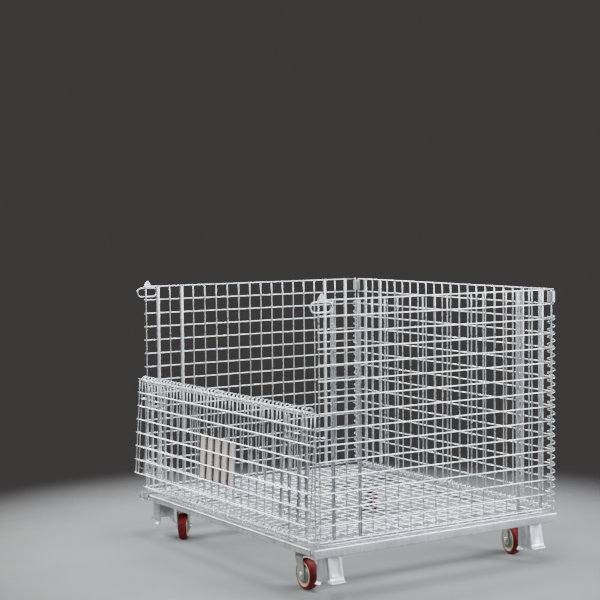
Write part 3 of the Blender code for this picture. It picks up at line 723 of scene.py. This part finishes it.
def add_panels():
    for seed, (name, sign) in enumerate((("left", -1), ("right", 1)), 10):
        add_panel(name + "_panel", name + "_panel", name + "_side", side_place(sign), SIDE_COLUMNS,
                  WALL_ROWS, WALL_UPRIGHTS, SIDE_CROSSBARS, seed, SIDE_RIBS)
    add_panel("back_panel", "back_panel", "base", back_place, FRONT_COLUMNS, WALL_ROWS, WALL_UPRIGHTS,
              BACK_CROSSBARS, 20, BACK_RIBS)
    add_panel("floor", "floor_mesh", "base", floor_place, FRONT_COLUMNS, FLOOR_ROWS, FLOOR_LENGTHWISE,
              FLOOR_CROSSWISE, 30)
    add_panel("lower_front", "lower_front_panel", "lower_front", lower_place, FRONT_COLUMNS, LOWER_ROWS,
              LOWER_UPRIGHTS, FRONT_CROSSBARS, 40, LOWER_RIBS, (LOWER_LATCH_RUNS, *LOWER_STAPLES),
              welded=LOWER_ROWS[:-1])
    add_panel("gate", "gate_panel", "gate", gate_place, FRONT_COLUMNS, GATE_ROWS, GATE_UPRIGHTS,
              FRONT_CROSSBARS, 50, GATE_RIBS, (GATE_LATCH_RUNS, *GATE_STAPLES), pose=GATE_POSE,
              edge=GATE_END_X, welded=GATE_ROWS[1:])


def add_label_plate():
    """A near-black plate of painted wire shadow, with raised pale fields, one behind each mesh cell."""
    bm = bmesh.new()

    def place(x, z, y):
        return (x, y, z)

    plate = rounded_rectangle(-LABEL_HALF_WIDTH, LABEL_EDGES_Z[0], LABEL_HALF_WIDTH, LABEL_EDGES_Z[1],
                              LABEL_CORNER)
    extrude(bm, plate, place, *LABEL_PLATE_Y)
    # The plate's body takes the second look, the painted shade of the wires
    for plate_face in bm.faces:
        plate_face.material_index = 1
    for cell in range(FIELD_COUNT):
        middle = PITCH * (cell - (FIELD_COUNT - 1) / 2)
        field = rounded_rectangle(middle - FIELD_HALF_WIDTH, FIELD_EDGES_Z[0], middle + FIELD_HALF_WIDTH,
                                  FIELD_EDGES_Z[1], FIELD_CORNER)
        extrude(bm, field, place, *FIELD_Y)
    add_piece("label_plate_face", finish_mesh(bm, "label_plate_face"), "gate", GATE_POSE, "label_plate",
              ["label_plate"], [LOOKS["label_plate"], LABEL_PAINTED_SHADE], FINE_EDGE)


# Coils that hinge the panels

def helix(start, end, angle_at, angle, radius, place):
    """Points of a coil with a closed turn at each end. At the position angle_at it stands at `angle`."""
    count = round((end - start) / COIL_PITCH * COIL_STEPS)
    stops = [start + (end - start) * k / count for k in range(count + 1)]
    stations = [(along, radians(angle) + tau * (along - angle_at) / COIL_PITCH) for along in stops]
    for side, index in ((-1, 0), (1, -1)):
        along, turned = stations[index]
        extra = [(along + side * COIL_END_PITCH * k / COIL_STEPS, turned + side * tau * k / COIL_STEPS)
                 for k in range(1, COIL_STEPS + 1)]
        stations = [*reversed(extra), *stations] if side < 0 else [*stations, *extra]
    return [place(along, radius * cos(turned), radius * sin(turned)) for along, turned in stations]


def add_coils():
    x, y = CORNER_AXIS
    for name, sign in (("left", -1), ("right", 1)):
        points = helix(*CORNER_COIL_ENDS, CORNER_COIL_ANGLE_Z, CORNER_COIL_ANGLE, CORNER_COIL_RADIUS,
                       lambda z, u, v: (sign * (x + u), y + v, z))
        add_wire(name + "_corner_spiral", points, CORNER_COIL_WIRE, "base", WALLS, name + "_corner_coil")
    for name, body, axis, radius, wire, angle, reach in HINGE_COILS:
        for side, sign in (("left", -1), ("right", 1)):
            ends = sorted((sign * reach[0], sign * reach[1]))
            points = helix(*ends, sign * COIL_ANGLE_X, angle, radius,
                           lambda x, u, v: (x, axis[0] + u, axis[1] + v))
            add_wire(f"{name}_spiral_{side}", points, wire, body, WALLS, f"{name}_coil_{side}")


# Base frame

def add_rail(name, web, lips, top, ends, node, along_x=False):
    """A channel with rounded bends, its web at `web` and open toward `lips`."""
    bm = bmesh.new()
    path = [(lips, RAIL_BOTTOM), (web, RAIL_BOTTOM), (web, top), (lips, top)]
    outline = bent_sheet(path, -SHEET if lips > web else SHEET, SHEET_BEND)
    place = (lambda u, v, w: (w, u, v)) if along_x else (lambda u, v, w: (u, w, v))
    extrude(bm, outline, place, *ends)
    add_piece(name, finish_mesh(bm, name), "base", WALLS, "zinc_sheet", [node], bevel=SHEET_EDGE)


def add_base_frame():
    for name, sign in (("left", -1), ("right", 1)):
        for part, node, lines, ends in (("side", "side_rail", SIDE_RAIL_X, SIDE_RAIL_Y),
                                        ("bearer", "floor_bearer", BEARER_WEB_LIPS_X, BEARER_Y)):
            add_rail(f"{name}_{part}_channel", sign * lines[0], sign * lines[1], SIDE_RAIL_TOP, ends,
                     f"{name}_{node}")
    add_rail("front_channel", *FRONT_RAIL_Y, END_RAIL_TOP, END_RAIL_X, "front_rail", True)
    add_rail("rear_channel", *REAR_RAIL_Y, END_RAIL_TOP, END_RAIL_X, "rear_rail", True)


def ease(value, start, end):
    """Rises smoothly from 0 at the start to 1 at the end."""
    share = min(1.0, max(0.0, (value - start) / (end - start)))
    return share * share * (3 - 2 * share)


def foot_columns():
    """Columns of the foot's sheet from the front flange's edge to the middle of the outer wall.

    Each has its kind, its place (share along the flange, bend angle in radians or share along the wall),
    how far its face is sunk, how far its lower edge is cut away, and how far its lip curls outward.
    """
    columns = []
    for share in FLANGE_SHARES:
        notch = (1 + NOTCH_OVERSHOOT) * ease(share, *NOTCH_RISE)
        notch -= NOTCH_OVERSHOOT * ease(share, *NOTCH_SETTLE)
        columns.append(("flange", share, ease(abs(share - 0.5), *FLANGE_SINK), notch,
                        1 - ease(share, *LOBE_LIP)))
    for angle in BEND_ANGLES:
        columns.append(("bend", radians(angle), 0.0, 1.0, BEND_LIP + (1 - BEND_LIP) * ease(angle, -90, 0)))
    for share in WALL_SHARES:
        columns.append(("wall", share, ease(share, *WALL_SINK), 1.0, 1.0))
    return columns


def foot_point(kind, place, height):
    """x, y and outward direction of a foot's outer face, at a height of 0 (sole) to 1 (rail)."""
    outer = FOOT_OUTER_X[0] + (FOOT_OUTER_X[1] - FOOT_OUTER_X[0]) * height
    half = FOOT_HALF_WIDTH[0] + (FOOT_HALF_WIDTH[1] - FOOT_HALF_WIDTH[0]) * height
    if kind == "flange":
        return FOOT_INNER_X + (outer - FOOT_BEND - FOOT_INNER_X) * place, -half, (0, -1)
    if kind == "bend":
        dx, dy = cos(place), sin(place)
        return outer - FOOT_BEND + FOOT_BEND * dx, -half + FOOT_BEND + FOOT_BEND * dy, (dx, dy)
    return outer, (half - FOOT_BEND) * (2 * place - 1), (1, 0)


def foot_mesh(name, sign, middle_y):
    """The outer face of one foot; the sheet's thickness is added inward by a modifier."""
    half = foot_columns()
    columns = [(*column, 1) for column in half] + [(*column, -1) for column in reversed(half[:-1])]
    bm = bmesh.new()
    rows = []
    for height in FOOT_HEIGHTS:
        row = []
        for kind, place, sunk, notch, lip, mirror in columns:
            bottom = FOOT_BOTTOM_Z + NOTCH_HEIGHT * notch
            z = bottom + (FOOT_TOP_Z - bottom) * height
            x, y, (dx, dy) = foot_point(kind, place, (z - FOOT_BOTTOM_Z) / (FOOT_TOP_Z - FOOT_BOTTOM_Z))
            push = LIP_REACH * lip * max(0.0, 1 - height / LIP_SHARE) ** LIP_CURL
            push -= SINK_DEPTH * sunk * ease(height, *SINK_START) * ease(height, *SINK_END)
            row.append(bm.verts.new((sign * (x + dx * push), middle_y + mirror * (y + dy * push), z)))
        rows.append(row)
    for upper, lower in zip(rows, rows[1:]):
        for a in range(len(upper) - 1):
            bm.faces.new((upper[a], upper[a + 1], lower[a + 1], lower[a]))
    return finish_mesh(bm, name, 60)


def add_feet():
    """Pressed feet: folded sheet with sunk panels, a notched lower edge and a lip that curls outward."""
    for end, middle_y in FOOT_Y.items():
        for side, sign in (("left", -1), ("right", 1)):
            name = f"{end}_{side}_foot_pressing"
            foot = add_piece(name, foot_mesh(name, sign, middle_y), "base", WALLS, "zinc_sheet",
                             [f"{end}_{side}_foot"])
            wall = foot.modifiers.new("sheet", "SOLIDIFY")
            wall.thickness = FOOT_SHEET
            wall.offset = -1.0
            wall.use_even_offset = True


# Fittings of the side panels

def tab_mesh(sign):
    """A small upright triangle with a hole."""
    bm = bmesh.new()
    tip, hole = ((y, TAB_FOOT_Z + rise) for y, rise in (TAB_TIP, TAB_HOLE))
    outline = rounded_outline([(TAB_FOOT_Y[0], TAB_FOOT_Z), (TAB_FOOT_Y[1], TAB_FOOT_Z), tip], TAB_CORNER)
    eye = arc(hole, TAB_HOLE_RADIUS, 0, 360 - 360 / TAB_HOLE_SIDES, TAB_HOLE_SIDES - 1)
    faces = []
    for x in TAB_X:
        loops = [[bm.verts.new((sign * x, y, z)) for y, z in loop] for loop in (outline, eye)]
        edges = [bm.edges.new((loop[a], loop[b])) for loop in loops for a, b in around(len(loop))]
        bmesh.ops.triangle_fill(bm, edges=edges, use_beauty=True)
        faces.append(loops)
    for first, second in zip(*faces):
        for a, b in around(len(first)):
            bm.faces.new((first[a], first[b], second[b], second[a]))
    return finish_mesh(bm, "tab")


def clip_mesh(sign):
    """A sheet sleeve around the corner wires, open toward the inside."""
    bm = bmesh.new()
    x, y = CORNER_AXIS
    outer, inside = (arc((0, 0), radius, *CLIP_ANGLES, 30) for radius in CLIP_RADII)
    extrude(bm, [*outer, *reversed(inside)], lambda u, v, z: (sign * (x + u), y + v, z), *CLIP_Z)
    return finish_mesh(bm, "clip")


def add_side_fittings():
    front, rear = LOOP_CENTRES_Y
    loop = arc((front, LOOP_Z), LOOP_RADIUS, 90, 270, 12) + arc((rear, LOOP_Z), LOOP_RADIUS, 270, 450, 12)
    for name, sign in (("left", -1), ("right", 1)):
        body = name + "_side"
        add_wire(name + "_gate_eye", [(sign * LOOP_X, y, z) for y, z in loop], LOOP_WIRE, body, WALLS,
                 name + "_gate_loop", 10, True)
        add_piece(name + "_tab", tab_mesh(sign), body, WALLS, "zinc_sheet", [name + "_stacking_tab"],
                  bevel=SHEET_EDGE)
        add_piece(name + "_clip", clip_mesh(sign), "base", WALLS, "zinc_sheet", [name + "_corner_clip"],
                  bevel=FINE_EDGE)


# Latches

def latch_bend(runs):
    """The round end that joins a latch's two runs."""
    low, high = runs
    return arc((LATCH_BEND_X, (low + high) / 2), (high - low) / 2, 270, 90, 12)


def add_latches():
    steel = [LOOKS["bolt_steel"]]
    low, high = GATE_LATCH_RUNS
    points = [(GATE_LATCH_ENDS_X[0], low), *latch_bend(GATE_LATCH_RUNS), (GATE_LATCH_ENDS_X[1], high)]
    for name, sign in (("left", -1), ("right", 1)):
        add_wire(name + "_gate_bolt_wire", [(sign * x, GATE_LATCH_Y, -z) for x, z in points], LATCH_RADIUS,
                 name + "_gate_bolt", GATE_POSE, name + "_gate_latch", 10, looks=steel)

    low, high = LOWER_LATCH_RUNS
    front, rear = HOOK_CENTRES_Y
    points = [(x, LOWER_LATCH_Y, z) for x, z in [(LOWER_LATCH_END_X, low), *latch_bend(LOWER_LATCH_RUNS)]]
    hook = [(HOOK_START_X, LOWER_LATCH_Y), *arc((HOOK_X, front), HOOK_RADIUS, -90, 0, 6),
            *arc((HOOK_X, rear), HOOK_RADIUS, 0, 90, 6), HOOK_TIP]
    points += [(x, y, high) for x, y in hook]
    for name, sign in (("left", -1), ("right", 1)):
        add_wire(name + "_lower_bolt_wire", [(sign * x, y, z) for x, y, z in points], LATCH_RADIUS,
                 name + "_lower_bolt", WALLS, name + "_lower_latch", 10, looks=steel)


# Casters: local X is the direction of trail, and the origin is on the floor under the swivel axis

def about_axle(x, y, z):
    """Turns a point made about Z into one about the axle, which runs along local Y."""
    return (TRAIL + x, z, WHEEL_RADIUS + y)


def fork_mesh():
    """One sheet folded into a crown and two legs with round ends, and the lower swivel race."""
    bm = bmesh.new()
    outside = FORK_INSIDE + FORK_THICKNESS
    half_path = [(outside, z) for z in FORK_LEG_ROWS]
    half_path += arc((outside - FORK_BEND, FORK_CROWN_Z - FORK_BEND), FORK_BEND, 0, 90, 5)
    half_path += [(FORK_CROWN_Y, FORK_CROWN_Z)]
    path = half_path + [(-y, z) for y, z in reversed(half_path)]
    rows = []
    for y, z in path:
        share = min(1.0, max(0.0, (z - WHEEL_RADIUS) / (FORK_LEG_TOP_Z - WHEEL_RADIUS)))
        middle = FORK_MIDDLE_X[0] + (FORK_MIDDLE_X[1] - FORK_MIDDLE_X[0]) * share
        half = FORK_HALF_DEPTH[0] + (FORK_HALF_DEPTH[1] - FORK_HALF_DEPTH[0]) * share
        if z < WHEEL_RADIUS:
            half = sqrt(max(FORK_HALF_DEPTH[0] ** 2 - (WHEEL_RADIUS - z) ** 2, FORK_TIP_HALF_DEPTH ** 2))
        rows.append([bm.verts.new((middle + half * side, y, z)) for side in FORK_ACROSS])
    for here, there in zip(rows, rows[1:]):
        for a in range(len(FORK_ACROSS) - 1):
            bm.faces.new((here[a], here[a + 1], there[a + 1], there[a]))
    bmesh.ops.recalc_face_normals(bm, faces=bm.faces)
    bmesh.ops.solidify(bm, geom=bm.faces[:], thickness=FORK_THICKNESS)
    revolve(bm, LOWER_RACE, 32)
    revolve(bm, KINGPIN, 24)
    return finish_mesh(bm, "fork")


def plate_mesh():
    """Top plate with rounded corners and the pressed housing of the upper race."""
    bm = bmesh.new()
    length, width = PLATE_HALF_SIZE
    outline = rounded_rectangle(-length, -width, length, width, PLATE_CORNER)
    extrude(bm, outline, upright, PLATE_TOP - PLATE_THICKNESS, PLATE_TOP)
    revolve(bm, UPPER_RACE, 36)
    return finish_mesh(bm, "plate")


def plate_nuts_mesh():
    """The nuts, washers and bolt ends under the top plate."""
    bm = bmesh.new()
    for x, y in PLATE_BOLTS:
        extrude(bm, hexagon(PLATE_NUT_RADIUS, x, y), upright, *PLATE_NUT_Z)
        for profile, steps in ((PLATE_BOLT_END, 12), (PLATE_WASHER, 20)):
            revolve(bm, profile, steps, lambda u, v, z: (x + u, y + v, z))
    return finish_mesh(bm, "plate_nuts")


def tread_mesh():
    """Polyurethane tread: a slightly crowned tyre with rounded shoulders, moulded onto the core."""
    bm = bmesh.new()
    revolve(bm, TREAD_PROFILE, 64, about_axle)
    return finish_mesh(bm, "tread", 50)


def core_mesh():
    """Cream wheel centre: a bright rim ring, a recessed web and a hub."""
    bm = bmesh.new()
    revolve(bm, CORE_HALF + [(r, -h) for r, h in reversed(CORE_HALF)], 64, about_axle)
    return finish_mesh(bm, "core", 40)


def guard_mesh():
    """Pressed thread guards between the wheel centre and the fork legs."""
    bm = bmesh.new()
    for side in (-1, 1):
        revolve(bm, [(r, side * h) for r, h in GUARD_PROFILE], 48, about_axle)
    return finish_mesh(bm, "guard", 40)


def axle_mesh():
    """Axle bolt with a hexagon head, washers, a lock nut and the end of its thread."""
    bm = bmesh.new()
    revolve(bm, AXLE_SHAFT, 20, about_axle)
    for side in (-1, 1):
        ends = sorted(side * reach for reach in AXLE_WASHER_REACH)
        inside, outside = AXLE_WASHER_RADII
        revolve(bm, [(inside, ends[0]), (outside, ends[0]), (outside, ends[1]), (inside, ends[1])], 32,
                about_axle)
        extrude(bm, hexagon(AXLE_NUT_RADIUS), about_axle, *sorted(side * reach for reach in AXLE_NUT_REACH))
        revolve(bm, [(r, side * h) for r, h in AXLE_NUT_CAP], 24, about_axle)
    return finish_mesh(bm, "axle", 30)


def add_casters():
    fork, plate, nuts, tread, core, guard, axle = (
        make() for make in (fork_mesh, plate_mesh, plate_nuts_mesh, tread_mesh, core_mesh, guard_mesh,
                            axle_mesh))
    for corner, (x, y, direction) in CASTERS.items():
        fixed = WALLS @ Matrix.Translation((x, y, 0))
        turned = fixed @ Matrix.Rotation(radians(direction), 4, "Z")
        node, swivel, wheel = corner + "_caster_", corner + "_swivel", corner + "_wheel"
        for name, mesh, body, pose, slot, nodes, looks, bevel in (
                ("top_plate", plate, "base", fixed, "zinc_sheet", ["plate"], None, PRESSED_EDGE),
                ("plate_nuts", nuts, "base", fixed, "bolt_steel", [], None, FINE_EDGE),
                ("fork_pressing", fork, swivel, turned, "zinc_sheet", ["fork"], [FORK_SHEET], PRESSED_EDGE),
                ("axle", axle, swivel, turned, "bolt_steel", ["axle_bolt"], None, FINE_EDGE),
                ("tread", tread, wheel, turned, "red_tread", ["tyre"], None, 0.0),
                ("wheel_centre", core, wheel, turned, "wheel_core", ["wheel_core"], None, 0.0),
                ("thread_guard", guard, wheel, turned, "wheel_core", [], [HUB_GUARD], 0.0)):
            add_piece(f"{corner}_{name}", mesh, body, pose, slot, [node + part for part in nodes], looks,
                      bevel)


# Stage

def add_stage():
    """A pale floor that fades into the plain grey of the studio."""
    bm = bmesh.new()
    bm.faces.new([bm.verts.new((x, y, 0))
                  for x, y in arc((0, 0), STAGE_RADIUS, 0, 360 - 360 / STAGE_SIDES, STAGE_SIDES - 1)])
    mesh = bpy.data.meshes.new("floor")
    bm.to_mesh(mesh)
    bm.free()
    floor = bpy.data.objects.new("floor", mesh)
    bpy.context.scene.collection.objects.link(floor)
    material, nodes, links, shader, at = new_material("floor_look", metallic=0.0, roughness=0.75)
    clouds = noise(nodes, links, at, scale=3.0)
    links.new(ramp(nodes, links, clouds, FLOOR_CLOUDS), shader.inputs["Base Color"])
    distance = nodes.new("ShaderNodeVectorMath")
    distance.operation = "LENGTH"
    links.new(at, distance.inputs[0])
    fade = nodes.new("ShaderNodeMapRange")
    fade.interpolation_type = "SMOOTHSTEP"
    fade.inputs["From Min"].default_value, fade.inputs["From Max"].default_value = STAGE_FADE
    fade.inputs["To Min"].default_value, fade.inputs["To Max"].default_value = 1.0, 0.0
    links.new(distance.outputs["Value"], fade.inputs["Value"])
    links.new(fade.outputs["Result"], shader.inputs["Alpha"])
    mesh.materials.append(material)

    world = bpy.data.worlds.new("studio")
    bpy.context.scene.world = world
    world.use_nodes = True
    background = world.node_tree.nodes["Background"]
    background.inputs["Color"].default_value = (*STUDIO_COLOUR, 1.0)
    background.inputs["Strength"].default_value = 1.0


def add_lights():
    for name, place, size, power, colour in LIGHTS:
        data = bpy.data.lights.new(name, "AREA")
        data.shape = "RECTANGLE"
        data.size, data.size_y = size
        data.energy = power
        data.color = colour
        light = bpy.data.objects.new(name, data)
        bpy.context.scene.collection.objects.link(light)
        light.location = place
        light.visible_camera = False
        light.rotation_euler = (Vector(LIGHT_TARGET) - Vector(place)).to_track_quat("-Z", "Y").to_euler()


def add_camera():
    ahead = Vector((-sin(CAMERA_YAW) * cos(CAMERA_PITCH), cos(CAMERA_YAW) * cos(CAMERA_PITCH),
                    sin(CAMERA_PITCH)))
    right = ahead.cross(Vector((0, 0, 1))).normalized()
    up = right.cross(ahead)
    rolled_right = right * cos(CAMERA_ROLL) + up * sin(CAMERA_ROLL)
    rolled_up = up * cos(CAMERA_ROLL) - right * sin(CAMERA_ROLL)
    data = bpy.data.cameras.new("camera")
    data.lens, data.sensor_width = CAMERA_LENS, CAMERA_SENSOR
    camera = bpy.data.objects.new("camera", data)
    bpy.context.scene.collection.objects.link(camera)
    turn = Matrix((rolled_right, rolled_up, -ahead)).transposed()
    camera.matrix_world = Matrix.Translation(CAMERA_PLACE) @ turn.to_4x4()
    bpy.context.scene.camera = camera


add_camera()
add_panels()
add_label_plate()
add_coils()
add_base_frame()
add_feet()
add_side_fittings()
add_latches()
add_casters()
add_stage()
add_lights()
